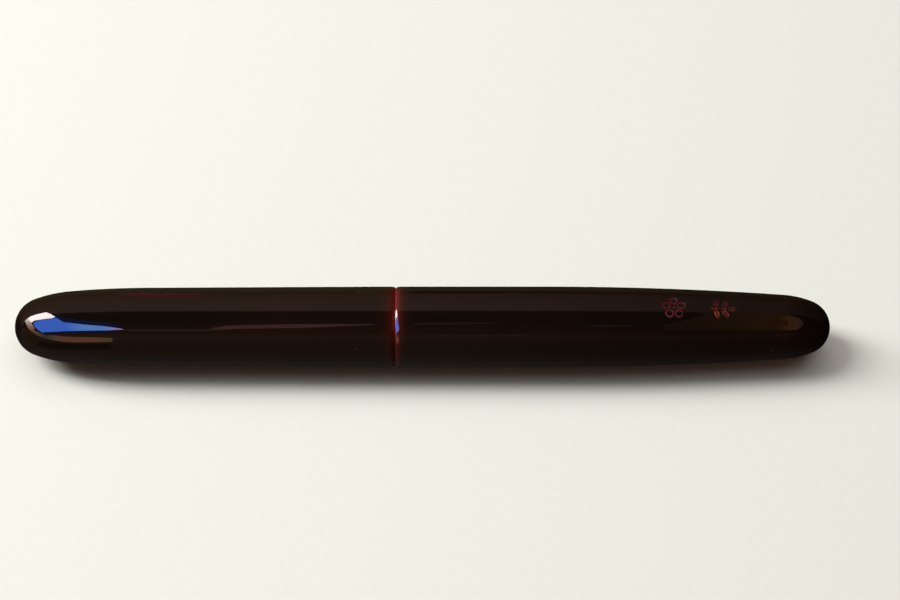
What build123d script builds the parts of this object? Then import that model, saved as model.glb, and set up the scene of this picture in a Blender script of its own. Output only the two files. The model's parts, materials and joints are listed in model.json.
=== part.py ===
"""A lacquered screw-cap brush pen with a twist-fill ink converter.

The pen lies on its side. X runs along the pen, from the tip of the cap (low X) to the tail of the
barrel (high X), and Z is up. The origin is on the surface that the pen lies on, halfway along it.
Every turned piece is drawn as an outline of (x, radius) about the pen's own axis and then lifted
to the height of that axis by save(). Lengths are in millimetres and angles in degrees.
"""

from build123d import *
from math import cos, radians, sin
import os

# ---------------------------------------------------------------- driving dimensions
LENGTH = 150.0
CAP_LENGTH = 70.0
BODY_RADIUS = 7.45
AXIS_HEIGHT = BODY_RADIUS

CAP_TIP = -LENGTH / 2
TAIL_TIP = LENGTH / 2
SEAM = CAP_TIP + CAP_LENGTH

# Each end and mouth is a run of tangent arcs: (radius, heading where the arc ends). It starts at 90 degrees.
CAP_NOSE = [(5.48, 20.3), (24.7, 4.94), (175.0, 0.28)]
TAIL_NOSE = [(5.08, 21.9), (17.65, 3.94)]
CAP_LIP = [(0.25, 12.0), (4.0, 0.0)]
SHOULDER = [(0.27, 25.0), (1.9, 0.0)]

RUNNING_GAP = 0.06
SEAT_GAP = 0.02
FACE_GAP = 0.05
THREAD_GAP = 0.10

# Cap thread, on the barrel's tenon and in the cap's mouth.
CAP_PITCH = 1.2
CAP_THREAD_DEPTH = 0.28
TENON_CORE = 5.95
TENON_END = SEAM - 6.0
CAP_THREAD_START = TENON_END + 0.75
CAP_THREAD_LENGTH = 4.2

# Barrel thread, on the brass ring behind the grip and in the brass bush in the barrel.
JOINT_PITCH = 1.0
JOINT_THREAD_DEPTH = 0.24
JOINT_CORE = 4.30
JOINT_THREAD_START = TENON_END + 0.9
JOINT_THREAD_LENGTH = 5.5
BUSH_SEAT = 5.30
BUSH_LENGTH = 7.8

# Bore of the barrel.
BARREL_BORE = 4.9
BARREL_BORE_END = 40.0
TAIL_BORE = 4.3
TAIL_BORE_END = 67.5
DRILL_POINT = 1.6

# Cap bore and inner cap.
CAP_BORE = 6.05
CAP_BORE_START = TENON_END - 1.6
LINER_SEAT = 5.80
LINER_MOUTH = -34.0
LINER_TAPER = -58.0
LINER_END = -68.0
LINER_END_RADIUS = 5.0
LINER_WALL = 0.84

# Grip.
GRIP_FRONT = -35.0
GRIP_REAR_RADIUS = 5.6
GRIP_WAIST_RADIUS = 5.1
GRIP_LIP_RADIUS = 5.4
HOUSING_RADIUS = 3.6
RING_SPIGOT = 4.0
RING_SPIGOT_FRONT = -18.0
RING_BORE = 3.66

# Feed: housing, nipple, comb and wick.
HOUSING_FRONT = -34.0
HOUSING_BORE = 2.9
HOUSING_WALL_FRONT = -17.0
HOUSING_REAR = -14.6
NIPPLE_RADIUS = 1.3
NIPPLE_BORE = 0.86
NIPPLE_END = -7.8
COMB_FRONT = -31.6
COMB_REAR = -17.6
COMB_FIN_RADIUS = 2.82
COMB_CORE_RADIUS = 1.7
COMB_PITCH = 0.8
COMB_FIN = 0.45
WICK_RADIUS = 0.82
WICK_REAR = -9.0
PIPE_BORE = 0.5

# Brush.
FERRULE_TIP = -44.0
FERRULE_BASE_RADIUS = 4.3
FERRULE_TIP_RADIUS = 2.5
FERRULE_SPIGOT_REAR = -32.0
TUFT_SOCKET = 2.1
TUFT_SOCKET_REAR = -37.0
TUFT_BUTT = -39.6
TUFT_ROOT = 1.80
TUFT_TIP = -60.8
PIPE_TIP = -48.0

# Ink converter.
CONVERTER_FRONT = -13.5
SLEEVE_RADIUS = 3.5
SLEEVE_WALL = 0.28
SLEEVE_REAR = 4.0
TUBE_FRONT = -6.0
TUBE_REAR = 22.0
TUBE_RADIUS = 3.45
TUBE_BORE = 2.9
MOUTH_RADIUS = SLEEVE_RADIUS - SLEEVE_WALL - SEAT_GAP
COLLAR_RADIUS = 3.75
COLLAR_FRONT = 18.0
COLLAR_REAR = 27.0
GUIDE_THICKNESS = 1.4
KNOB_RADIUS = 3.6
KNOB_GRIP_FRONT = 28.5
KNOB_REAR = 50.0
KNOB_BORE = 1.9
KNOB_FLUTES = 24

# Piston and its coarse double-start screw. One turn of the knob moves the piston one lead.
SCREW_LEAD = 3.0
SCREW_STARTS = 2
SCREW_CORE = 1.2
SCREW_CREST = 1.5
SCREW_FLAT = 1.05
SCREW_FRONT = 22.2
SCREW_REAR = 48.0
PISTON_FRONT = 16.5
PISTON_REAR = 21.5
NUT_FRONT = 23.8
NUT_REAR = 28.6
NUT_RADIUS = 2.2

# Red lacquer inlays on top of the barrel.
INLAY_DEPTH = 0.20
INLAY_SINK = 0.03
BLOSSOM_X = 45.7
SPRIG_X = 54.8


# ---------------------------------------------------------------- outlines and solids
def turned(points):
    """Solid of revolution about the X axis from a closed outline of (x, radius) corners."""
    return revolve(make_face(Polyline(*points, close=True)), axis=Axis.X)


def tube(x0, x1, outer, inner):
    """Plain round tube between two stations."""
    return turned([(x0, inner), (x1, inner), (x1, outer), (x0, outer)])


def rod(x0, x1, radius):
    """Plain round bar between two stations."""
    return turned([(x0, 0), (x1, 0), (x1, radius), (x0, radius)])


def end_arcs(tip, direction, steps, inset=0.0, start_radius=0.0):
    """Tangent arcs from an end's face outwards, and the last point.

    direction is +1 for an end that opens towards high X. inset moves the outline inwards.
    """
    x, r, heading = inset, start_radius, 90.0
    arcs = []
    for radius, next_heading in steps:
        radius -= inset

        def at(angle):
            return (
                x + radius * (sin(radians(heading)) - sin(radians(angle))),
                r + radius * (cos(radians(angle)) - cos(radians(heading))),
            )

        middle, end = at((heading + next_heading) / 2), at(next_heading)
        corners = [(tip + direction * px, pr) for px, pr in ((x, r), middle, end)]
        arcs.append(ThreePointArc(*corners))
        (x, r), heading = end, next_heading
    return arcs, (tip + direction * x, r)


def rise(steps):
    """Radius that a run of arcs gains from its start to its end."""
    starts = [90.0] + [end for _, end in steps]
    return sum(
        radius * (cos(radians(end)) - cos(radians(start)))
        for (radius, end), start in zip(steps, starts)
    )


def tail_steps():
    """The tail's arcs, with the last one running out level at the body's full radius."""
    last = TAIL_NOSE[-1][1]
    long_radius = (BODY_RADIUS - rise(TAIL_NOSE)) / (1 - cos(radians(last)))
    return TAIL_NOSE + [(long_radius, 0.0)]


def thread(start, length, pitch, root, crest, starts=1, phase=0.0):
    """Helical ridges from root radius to crest radius, as separate solids. crest < root is internal."""
    sign = 1 if crest > root else -1
    depth = abs(crest - root)
    spacing = pitch / starts
    base, top = 0.30 * spacing, 0.15 * spacing
    bury = 0.06
    ridges = []
    for i in range(starts):
        path = Helix(pitch=pitch, height=length, radius=root)
        section = make_face(
            Plane.XZ
            * Polyline(
                (root - sign * bury, -base),
                (root + sign * depth, -top),
                (root + sign * depth, top),
                (root - sign * bury, base),
                close=True,
            )
        )
        ridge = sweep(section, path=path, is_frenet=True)
        turn = Rot(Z=phase + i * 360.0 / starts)
        ridges.append(Pos(start, 0, 0) * Rot(Y=90) * turn * ridge)
    return ridges


def fused(body, ridges):
    """Body with its ridges made one solid with it."""
    for ridge in ridges:
        body = body + ridge
    return body


# ---------------------------------------------------------------- cap
def cap_shell():
    """Closed turned cap: outside follows the nose arcs, bore takes the liner, mouth is threaded."""
    arcs, (x, r) = end_arcs(CAP_TIP, 1, CAP_NOSE)
    lip_radius = BODY_RADIUS - rise(CAP_LIP)
    lip, lip_end = end_arcs(SEAM, -1, CAP_LIP, start_radius=lip_radius)
    thread_root = TENON_CORE + CAP_THREAD_DEPTH + THREAD_GAP + CAP_THREAD_DEPTH
    edges = [
        *arcs,
        Line((x, r), lip_end),
        *lip,
        Polyline(
            (SEAM, lip_radius),
            (SEAM, thread_root + 0.12),
            (SEAM - 0.4, thread_root),
            (CAP_BORE_START, thread_root),
            (CAP_BORE_START - 0.6, CAP_BORE),
            (LINER_MOUTH, CAP_BORE),
            (LINER_MOUTH, LINER_SEAT),
            (LINER_TAPER, LINER_SEAT),
            (LINER_END + 1.0, LINER_END_RADIUS),
            (LINER_END, LINER_END_RADIUS - 0.8),
            (LINER_END, 0),
            (CAP_TIP, 0),
        ),
    ]
    shell = revolve(make_face(Curve() + edges), axis=Axis.X)
    ridges = thread(
        CAP_THREAD_START,
        CAP_THREAD_LENGTH,
        CAP_PITCH,
        thread_root,
        thread_root - CAP_THREAD_DEPTH,
    )
    return fused(shell, ridges)


def inner_cap():
    """Sealing liner: a thin cup pressed into the cap, whose rim meets the front of the grip."""
    outer = LINER_SEAT - RUNNING_GAP
    end_outer = LINER_END_RADIUS - RUNNING_GAP
    wall = LINER_WALL
    return turned(
        [
            (GRIP_FRONT - FACE_GAP, outer - 0.35),
            (GRIP_FRONT - FACE_GAP - 0.35, outer),
            (LINER_TAPER, outer),
            (LINER_END + 1.0, end_outer),
            (LINER_END + RUNNING_GAP, end_outer - 0.8),
            (LINER_END + RUNNING_GAP, 0),
            (LINER_END + wall, 0),
            (LINER_END + wall, end_outer - 1.3),
            (LINER_END + wall + 0.8, end_outer - wall + 0.06),
            (LINER_TAPER + 0.1, outer - wall),
            (GRIP_FRONT - 2.0, outer - wall),
            (GRIP_FRONT - FACE_GAP, GRIP_LIP_RADIUS - 0.75),
        ]
    )


# ---------------------------------------------------------------- barrel
def barrel_skin(inset):
    """The tail half of the barrel as a plain solid, its surface moved inwards by inset."""
    arcs, (x, r) = end_arcs(TAIL_TIP, -1, tail_steps(), inset)
    edges = [*arcs, Polyline((x, r), (x, 0), (TAIL_TIP - inset, 0))]
    return revolve(make_face(Curve() + edges), axis=Axis.X)


def barrel_shell():
    """Turned barrel: long tapering tail, rounded shoulder, threaded tenon and stepped bore."""
    arcs, (x, r) = end_arcs(TAIL_TIP, -1, tail_steps())
    shoulder = SEAM + FACE_GAP
    face_radius = BODY_RADIUS - rise(SHOULDER)
    rounding, rounding_end = end_arcs(shoulder, 1, SHOULDER, start_radius=face_radius)
    edges = [
        *arcs,
        Line((x, r), rounding_end),
        *rounding,
        Polyline(
            (shoulder, face_radius),
            (shoulder, TENON_CORE - 0.12),
            (shoulder - 0.5, TENON_CORE - 0.12),
            (shoulder - 0.6, TENON_CORE),
            (TENON_END + 0.35, TENON_CORE),
            (TENON_END, TENON_CORE - 0.3),
            (TENON_END, BUSH_SEAT),
            (TENON_END + BUSH_LENGTH, BUSH_SEAT),
            (TENON_END + BUSH_LENGTH, BARREL_BORE),
            (BARREL_BORE_END, BARREL_BORE),
            (BARREL_BORE_END + 1.0, TAIL_BORE),
            (TAIL_BORE_END, TAIL_BORE),
            (TAIL_BORE_END + DRILL_POINT, 0),
            (TAIL_TIP, 0),
        ),
    ]
    shell = revolve(make_face(Curve() + edges), axis=Axis.X)
    ridges = thread(
        CAP_THREAD_START,
        CAP_THREAD_LENGTH,
        CAP_PITCH,
        TENON_CORE,
        TENON_CORE + CAP_THREAD_DEPTH,
        phase=180.0,
    )
    shell = fused(shell, ridges)
    floor = barrel_skin(INLAY_DEPTH + SEAT_GAP)
    for sketch in (blossom_sketch(0.0), sprig_sketch(0.0)):
        shell -= inlay_prism(sketch) - floor
    return shell


def barrel_bush():
    """Brass bush in the barrel's mouth, threaded inside for the ring behind the grip."""
    root = JOINT_CORE + JOINT_THREAD_DEPTH + THREAD_GAP + JOINT_THREAD_DEPTH
    rear = TENON_END + BUSH_LENGTH - SEAT_GAP
    body = tube(TENON_END + FACE_GAP, rear, BUSH_SEAT - RUNNING_GAP, root)
    ridges = thread(
        JOINT_THREAD_START,
        JOINT_THREAD_LENGTH,
        JOINT_PITCH,
        root,
        root - JOINT_THREAD_DEPTH,
    )
    return fused(body, ridges)


def inlay_prism(sketch):
    """Upright prism of a flat mark, from inside the barrel's wall to above its top."""
    return extrude(Pos(0, 0, BODY_RADIUS - 2.5) * sketch, amount=3.0)


def blossom_sketch(shrink):
    """Five ring petals about a dot, with a stamen in each gap between petals."""
    petal_reach, petal, petal_eye = 1.45, 0.80, 0.48
    stamen_reach, stamen, dot = 0.70, 0.12, 0.26
    marks = Circle(dot - shrink)
    for i in range(5):
        petal_turn = 90 + 72 * i
        marks += Rot(Z=petal_turn + 36) * Pos(stamen_reach, 0) * Circle(stamen - shrink)
        marks += Rot(Z=petal_turn) * Pos(petal_reach, 0) * Circle(petal - shrink)
    for i in range(5):
        marks -= Rot(Z=90 + 72 * i) * Pos(petal_reach, 0) * Circle(petal_eye + shrink)
    return Pos(BLOSSOM_X, 0) * marks


def leaf_sketch(shrink):
    """Pointed leaf that starts at the origin and runs along X, split down its middle by a vein."""
    length, half_width, vein = 2.0, 0.48, 0.16
    bow = ((length / 2) ** 2 + half_width**2) / (2 * half_width)
    offset = bow - half_width
    sides = [Pos(length / 2, side * offset) * Circle(bow - shrink) for side in (-1, 1)]
    return (sides[0] & sides[1]) - Pos(length / 2, 0) * Rectangle(length, vein + 2 * shrink)


def sprig_sketch(shrink):
    """Stem with two pairs of leaves and one more leaf at its tip."""
    stem_length, stem_width = 2.9, 0.26
    marks = Pos(-0.95, 0) * SlotOverall(stem_length - 2 * shrink, stem_width - 2 * shrink)
    for x, angle in ((-1.75, 64), (-0.35, 52)):
        for side in (-1, 1):
            marks += Pos(x, side * 0.2) * Rot(Z=side * angle) * leaf_sketch(shrink)
    marks += Pos(0.55, 0) * leaf_sketch(shrink)
    return Pos(SPRIG_X, 0) * marks


def inlay(sketch):
    """Lacquer fill of an engraved mark, a little below the barrel's surface."""
    skin = barrel_skin(INLAY_SINK) - barrel_skin(INLAY_DEPTH)
    return inlay_prism(sketch) & skin


# ---------------------------------------------------------------- grip and feed
def grip_section():
    """Turned grip with a slight waist and a flared, rounded front lip."""
    rear = TENON_END - FACE_GAP
    profile = Spline(
        (rear - 0.3, GRIP_REAR_RADIUS),
        (rear - 16.0, GRIP_WAIST_RADIUS),
        (GRIP_FRONT + 1.2, GRIP_LIP_RADIUS),
        tangents=((-1, 0), (-1, 0)),
    )
    lip = ThreePointArc(
        (GRIP_FRONT + 1.2, GRIP_LIP_RADIUS),
        (GRIP_FRONT + 0.3, GRIP_LIP_RADIUS - 0.28),
        (GRIP_FRONT, GRIP_LIP_RADIUS - 0.8),
    )
    bore = HOUSING_RADIUS + SEAT_GAP
    edges = [
        profile,
        lip,
        Polyline(
            (GRIP_FRONT, GRIP_LIP_RADIUS - 0.8),
            (GRIP_FRONT, bore),
            (RING_SPIGOT_FRONT - SEAT_GAP, bore),
            (RING_SPIGOT_FRONT - SEAT_GAP, RING_SPIGOT + SEAT_GAP),
            (rear, RING_SPIGOT + SEAT_GAP),
            (rear, GRIP_REAR_RADIUS - 0.3),
            (rear - 0.3, GRIP_REAR_RADIUS),
        ),
    ]
    return revolve(make_face(Curve() + edges), axis=Axis.X)


def joint_ring():
    """Brass ring glued into the back of the grip, threaded outside where it enters the barrel."""
    thread_rear = JOINT_THREAD_START + JOINT_THREAD_LENGTH
    body = turned(
        [
            (RING_SPIGOT_FRONT, RING_BORE),
            (thread_rear + 0.6, RING_BORE),
            (thread_rear + 0.6, JOINT_CORE - 0.2),
            (thread_rear + 0.3, JOINT_CORE),
            (JOINT_THREAD_START - 0.45, JOINT_CORE),
            (JOINT_THREAD_START - 0.45, RING_SPIGOT),
            (RING_SPIGOT_FRONT, RING_SPIGOT),
        ]
    )
    ridges = thread(
        JOINT_THREAD_START,
        JOINT_THREAD_LENGTH,
        JOINT_PITCH,
        JOINT_CORE,
        JOINT_CORE + JOINT_THREAD_DEPTH,
        phase=180.0,
    )
    return fused(body, ridges)


def feed_housing():
    """Sleeve that holds the comb, closed behind by a wall that carries the ink nipple."""
    return turned(
        [
            (HOUSING_FRONT, HOUSING_BORE),
            (HOUSING_WALL_FRONT, HOUSING_BORE),
            (HOUSING_WALL_FRONT, NIPPLE_BORE),
            (NIPPLE_END, NIPPLE_BORE),
            (NIPPLE_END, NIPPLE_RADIUS - 0.2),
            (NIPPLE_END - 0.5, NIPPLE_RADIUS),
            (HOUSING_REAR, NIPPLE_RADIUS),
            (HOUSING_REAR, HOUSING_RADIUS - 0.2),
            (HOUSING_REAR - 0.2, HOUSING_RADIUS),
            (HOUSING_FRONT, HOUSING_RADIUS),
        ]
    )


def ink_comb():
    """Finned comb that meters ink, with a capillary slot down one side and a bore for the wick."""
    body = tube(COMB_FRONT, COMB_REAR, COMB_CORE_RADIUS, WICK_RADIUS + SEAT_GAP)
    count = int((COMB_REAR - COMB_FRONT) / COMB_PITCH)
    for i in range(count + 1):
        x = COMB_FRONT + i * COMB_PITCH
        body += tube(x, min(x + COMB_FIN, COMB_REAR), COMB_FIN_RADIUS, COMB_CORE_RADIUS - 0.1)
    slot = Box(COMB_REAR - COMB_FRONT + 2, 0.4, COMB_FIN_RADIUS)
    return body - Pos((COMB_FRONT + COMB_REAR) / 2, 0, 1.25 + COMB_FIN_RADIUS / 2) * slot


def ink_wick():
    """Fibre rod that carries ink from the nipple to the front of the comb."""
    return rod(HOUSING_FRONT + 0.4, WICK_REAR, WICK_RADIUS)


def ink_pipe():
    """Fine tube that carries ink on from the wick into the belly of the tuft."""
    return tube(PIPE_TIP, HOUSING_FRONT + 0.4 - SEAT_GAP, WICK_RADIUS, PIPE_BORE)


# ---------------------------------------------------------------- brush
def brush_ferrule():
    """Cone that carries the tuft, with a spigot into the feed housing."""
    flange = GRIP_FRONT - SEAT_GAP
    cone = Spline(
        (flange - 0.7, FERRULE_BASE_RADIUS - 0.25),
        (-39.5, 3.55),
        (FERRULE_TIP + 0.25, FERRULE_TIP_RADIUS),
    )
    edges = [
        cone,
        Polyline(
            (FERRULE_TIP + 0.25, FERRULE_TIP_RADIUS),
            (FERRULE_TIP, FERRULE_TIP_RADIUS - 0.15),
            (FERRULE_TIP, TUFT_SOCKET),
            (TUFT_SOCKET_REAR, TUFT_SOCKET),
            (TUFT_SOCKET_REAR, WICK_RADIUS + SEAT_GAP),
            (FERRULE_SPIGOT_REAR, WICK_RADIUS + SEAT_GAP),
            (FERRULE_SPIGOT_REAR, HOUSING_BORE - SEAT_GAP),
            (HOUSING_FRONT - SEAT_GAP, HOUSING_BORE - SEAT_GAP),
            (HOUSING_FRONT - SEAT_GAP, HOUSING_RADIUS - SEAT_GAP),
            (flange, HOUSING_RADIUS - SEAT_GAP),
            (flange, FERRULE_BASE_RADIUS),
            (flange - 0.45, FERRULE_BASE_RADIUS),
            (flange - 0.7, FERRULE_BASE_RADIUS - 0.25),
        ),
    ]
    return revolve(make_face(Curve() + edges), axis=Axis.X)


def tuft_base():
    """Cast butt that bonds the roots of the hairs together."""
    front = TUFT_BUTT + SEAT_GAP
    return tube(front, TUFT_SOCKET_REAR - SEAT_GAP, TUFT_SOCKET - SEAT_GAP, WICK_RADIUS + SEAT_GAP)


def tuft_binding():
    """Thread wound round the roots of the hairs, close to the butt."""
    thread_radius, turns = 0.11, 4
    pitch = 2.3 * thread_radius
    middle = TUFT_ROOT + SEAT_GAP + thread_radius
    path = Helix(pitch=pitch, height=turns * pitch, radius=middle)
    section = Plane.XZ * Pos(middle, 0) * RegularPolygon(thread_radius, 8)
    coil = sweep(section, path=path, is_frenet=True)
    return Pos(TUFT_BUTT - 0.5 - turns * pitch, 0, 0) * Rot(Y=90) * coil


def brush_tuft():
    """Envelope of the hair: straight in the ferrule, a slight belly, then a fine point."""
    hair = Spline(
        (FERRULE_TIP + 2.0, TUFT_ROOT),
        (FERRULE_TIP - 3.5, 2.12),
        (FERRULE_TIP - 10.0, 1.45),
        (TUFT_TIP, 0.08),
        tangents=((-1, 0), (-1, -0.12)),
    )
    edges = [
        hair,
        Polyline(
            (TUFT_TIP, 0.08),
            (TUFT_TIP, 0),
            (PIPE_TIP - SEAT_GAP, 0),
            (PIPE_TIP - SEAT_GAP, WICK_RADIUS + SEAT_GAP),
            (TUFT_BUTT, WICK_RADIUS + SEAT_GAP),
            (TUFT_BUTT, TUFT_ROOT),
            (FERRULE_TIP + 2.0, TUFT_ROOT),
        ),
    ]
    return revolve(make_face(Curve() + edges), axis=Axis.X)


# ---------------------------------------------------------------- converter
def converter_mouth():
    """Plug that grips the nipple and closes the front of the ink tube."""
    return turned(
        [
            (CONVERTER_FRONT, NIPPLE_RADIUS + 0.35),
            (CONVERTER_FRONT + 0.5, NIPPLE_RADIUS + SEAT_GAP),
            (TUBE_FRONT - 1.6, NIPPLE_RADIUS + SEAT_GAP),
            (TUBE_FRONT - 1.6, 0.95),
            (TUBE_FRONT + 1.5, 0.95),
            (TUBE_FRONT + 2.4, TUBE_BORE - SEAT_GAP - 0.5),
            (TUBE_FRONT + 2.4, TUBE_BORE - SEAT_GAP),
            (TUBE_FRONT - SEAT_GAP, TUBE_BORE - SEAT_GAP),
            (TUBE_FRONT - SEAT_GAP, MOUTH_RADIUS),
            (CONVERTER_FRONT + 0.3, MOUTH_RADIUS),
            (CONVERTER_FRONT, MOUTH_RADIUS - 0.3),
        ]
    )


def converter_sleeve():
    """Thin metal sleeve over the mouth plug and the front of the tube, with two pressed beads."""
    inner = SLEEVE_RADIUS - SLEEVE_WALL
    body = tube(CONVERTER_FRONT + 0.6, SLEEVE_REAR, SLEEVE_RADIUS, inner)
    for x in (SLEEVE_REAR - 0.3, SLEEVE_REAR - 1.5):
        bead = Torus(SLEEVE_RADIUS - 0.06, 0.14)
        body += Pos(x, 0, 0) * Rot(Y=90) * bead
    return body


def converter_tube():
    """Clear ink tube. Its front is turned down to fit inside the sleeve."""
    inside_sleeve = SLEEVE_RADIUS - SLEEVE_WALL - SEAT_GAP
    return turned(
        [
            (TUBE_FRONT, TUBE_BORE),
            (TUBE_REAR, TUBE_BORE),
            (TUBE_REAR, TUBE_RADIUS),
            (SLEEVE_REAR + 0.3, TUBE_RADIUS),
            (SLEEVE_REAR + 0.3, inside_sleeve),
            (TUBE_FRONT, inside_sleeve),
        ]
    )


def guide_plate():
    """Disc behind the tube whose flatted hole keeps the screw from turning."""
    gap = THREAD_GAP
    plate = rod(TUBE_REAR + SEAT_GAP, TUBE_REAR + GUIDE_THICKNESS, TUBE_RADIUS)
    flatted = Rectangle(4 * SCREW_CREST, 2 * (SCREW_FLAT + gap))
    hole = extrude(Plane.YZ * (Circle(SCREW_CREST + gap) & flatted), amount=3 * GUIDE_THICKNESS)
    return plate - Pos(TUBE_REAR - GUIDE_THICKNESS, 0, 0) * hole


def converter_collar():
    """Metal collar crimped over the tube, the guide plate and the knob's flange."""
    bore = TUBE_RADIUS + SEAT_GAP
    return turned(
        [
            (COLLAR_FRONT, bore),
            (COLLAR_REAR - 0.9, bore),
            (COLLAR_REAR - 0.9, 3.05),
            (COLLAR_REAR, 3.05),
            (COLLAR_REAR, COLLAR_RADIUS - 0.3),
            (COLLAR_REAR - 0.3, COLLAR_RADIUS),
            (COLLAR_FRONT + 0.3, COLLAR_RADIUS),
            (COLLAR_FRONT, COLLAR_RADIUS - 0.15),
        ]
    )


def converter_knob():
    """Fluted turning knob. Its flange is held in the collar and its bore takes the nut and screw."""
    flange_front = TUBE_REAR + GUIDE_THICKNESS + RUNNING_GAP
    flange_rear = COLLAR_REAR - 0.9 - RUNNING_GAP
    nut_bore = NUT_RADIUS + SEAT_GAP
    body = turned(
        [
            (flange_front, nut_bore),
            (NUT_REAR + SEAT_GAP, nut_bore),
            (NUT_REAR + SEAT_GAP, KNOB_BORE),
            (KNOB_REAR - 1.2, KNOB_BORE),
            (KNOB_REAR - 0.9, 0),
            (KNOB_REAR, 0),
            (KNOB_REAR, KNOB_RADIUS - 0.8),
            (KNOB_REAR - 0.8, KNOB_RADIUS),
            (KNOB_GRIP_FRONT + 0.4, KNOB_RADIUS),
            (KNOB_GRIP_FRONT, KNOB_RADIUS - 0.4),
            (KNOB_GRIP_FRONT, 2.9),
            (flange_rear, 2.9),
            (flange_rear, TUBE_RADIUS - 0.05),
            (flange_front, TUBE_RADIUS - 0.05),
        ]
    )
    flute_length = KNOB_REAR - KNOB_GRIP_FRONT - 6.0
    middle = (KNOB_REAR + KNOB_GRIP_FRONT) / 2
    flute = Pos(middle, 0, KNOB_RADIUS + 0.12) * Rot(Y=90) * Cylinder(0.3, flute_length)
    for i in range(KNOB_FLUTES):
        body -= Rot(X=i * 360.0 / KNOB_FLUTES) * flute
    return body


def drive_nut():
    """Brass nut pressed into the knob. Its ridges lie midway between the screw's own."""
    body = tube(NUT_FRONT, NUT_REAR, NUT_RADIUS, SCREW_CREST + THREAD_GAP)
    ridges = thread(
        NUT_FRONT + 0.5,
        NUT_REAR - NUT_FRONT - 1.0,
        SCREW_LEAD,
        SCREW_CREST + THREAD_GAP,
        SCREW_CORE + THREAD_GAP,
        SCREW_STARTS,
        phase=90.0 + 360.0 * (NUT_FRONT - SCREW_FRONT) / SCREW_LEAD,
    )
    return fused(body, ridges)


def piston_screw():
    """Piston rod with a coarse double-start screw and two flats."""
    body = rod(PISTON_FRONT + 2.0, SCREW_REAR, SCREW_CORE)
    ridges = thread(
        SCREW_FRONT + 0.5,
        SCREW_REAR - SCREW_FRONT - 1.0,
        SCREW_LEAD,
        SCREW_CORE,
        SCREW_CREST,
        SCREW_STARTS,
    )
    return fused(body, ridges) & Box(4 * SCREW_REAR, 4 * SCREW_CREST, 2 * SCREW_FLAT)


def piston_seal():
    """Double-lipped rubber piston, hollow behind for the end of the screw."""
    lip = TUBE_BORE - 0.03
    socket = SCREW_CORE + SEAT_GAP
    return turned(
        [
            (PISTON_FRONT, 0),
            (PISTON_FRONT, lip - 0.7),
            (PISTON_FRONT + 0.3, lip),
            (PISTON_FRONT + 1.0, lip),
            (PISTON_FRONT + 1.4, lip - 0.4),
            (PISTON_REAR - 1.4, lip - 0.4),
            (PISTON_REAR - 1.0, lip),
            (PISTON_REAR - 0.3, lip),
            (PISTON_REAR, lip - 0.5),
            (PISTON_REAR, socket),
            (PISTON_FRONT + 2.0 - SEAT_GAP, socket),
            (PISTON_FRONT + 2.0 - SEAT_GAP, 0),
        ]
    )


# ---------------------------------------------------------------- output
PARTS = {
    "cap_shell": cap_shell,
    "inner_cap": inner_cap,
    "barrel_shell": barrel_shell,
    "barrel_bush": barrel_bush,
    "blossom_inlay": lambda: inlay(blossom_sketch(SEAT_GAP)),
    "sprig_inlay": lambda: inlay(sprig_sketch(SEAT_GAP)),
    "grip_section": grip_section,
    "joint_ring": joint_ring,
    "feed_housing": feed_housing,
    "ink_comb": ink_comb,
    "ink_wick": ink_wick,
    "ink_pipe": ink_pipe,
    "brush_ferrule": brush_ferrule,
    "tuft_base": tuft_base,
    "tuft_binding": tuft_binding,
    "brush_tuft": brush_tuft,
    "converter_mouth": converter_mouth,
    "converter_sleeve": converter_sleeve,
    "converter_tube": converter_tube,
    "guide_plate": guide_plate,
    "converter_collar": converter_collar,
    "converter_knob": converter_knob,
    "drive_nut": drive_nut,
    "piston_screw": piston_screw,
    "piston_seal": piston_seal,
}


def save(name, shape):
    """Lift a piece from the pen's axis to its place above the surface, and write it."""
    export_step(Pos(0, 0, AXIS_HEIGHT) * shape, os.path.join("parts", name + ".step"))


os.makedirs("parts", exist_ok=True)
for part_name, make in PARTS.items():
    save(part_name, make())
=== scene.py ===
import json
import math
import random

import bmesh
import bpy
import numpy as np
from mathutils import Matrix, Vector


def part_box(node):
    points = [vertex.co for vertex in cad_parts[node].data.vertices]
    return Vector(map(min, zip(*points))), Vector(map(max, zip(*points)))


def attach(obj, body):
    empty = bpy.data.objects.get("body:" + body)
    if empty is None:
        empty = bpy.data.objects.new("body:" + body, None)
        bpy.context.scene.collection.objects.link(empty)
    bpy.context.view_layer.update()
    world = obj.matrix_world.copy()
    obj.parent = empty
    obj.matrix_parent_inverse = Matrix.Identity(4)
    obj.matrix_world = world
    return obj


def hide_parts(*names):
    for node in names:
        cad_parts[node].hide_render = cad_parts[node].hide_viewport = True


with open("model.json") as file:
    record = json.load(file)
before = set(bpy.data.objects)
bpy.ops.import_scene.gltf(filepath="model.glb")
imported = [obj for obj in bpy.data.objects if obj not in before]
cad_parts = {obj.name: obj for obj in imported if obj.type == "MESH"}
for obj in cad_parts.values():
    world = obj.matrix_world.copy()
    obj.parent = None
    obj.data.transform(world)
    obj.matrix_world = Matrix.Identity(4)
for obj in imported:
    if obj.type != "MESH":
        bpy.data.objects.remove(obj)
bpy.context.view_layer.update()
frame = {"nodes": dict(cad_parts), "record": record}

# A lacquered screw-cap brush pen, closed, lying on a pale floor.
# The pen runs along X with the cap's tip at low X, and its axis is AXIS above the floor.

# ---------------------------------------------------------------- sizes
# Lengths on the pen are in millimetres from the middle of the pen, and MM turns them into metres.
MM = 0.001
BARREL_MOUNT = frame["record"]["mounts"][0]
BODY_RADIUS = BARREL_MOUNT["dims"]["r_mm"]
AXIS = BARREL_MOUNT["pos_m"][2]
CAP_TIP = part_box("cap_shell")[0].x / MM
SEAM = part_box("cap_shell")[1].x / MM
TAIL_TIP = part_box("barrel_shell")[1].x / MM
TENON_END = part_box("barrel_shell")[0].x / MM

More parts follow.
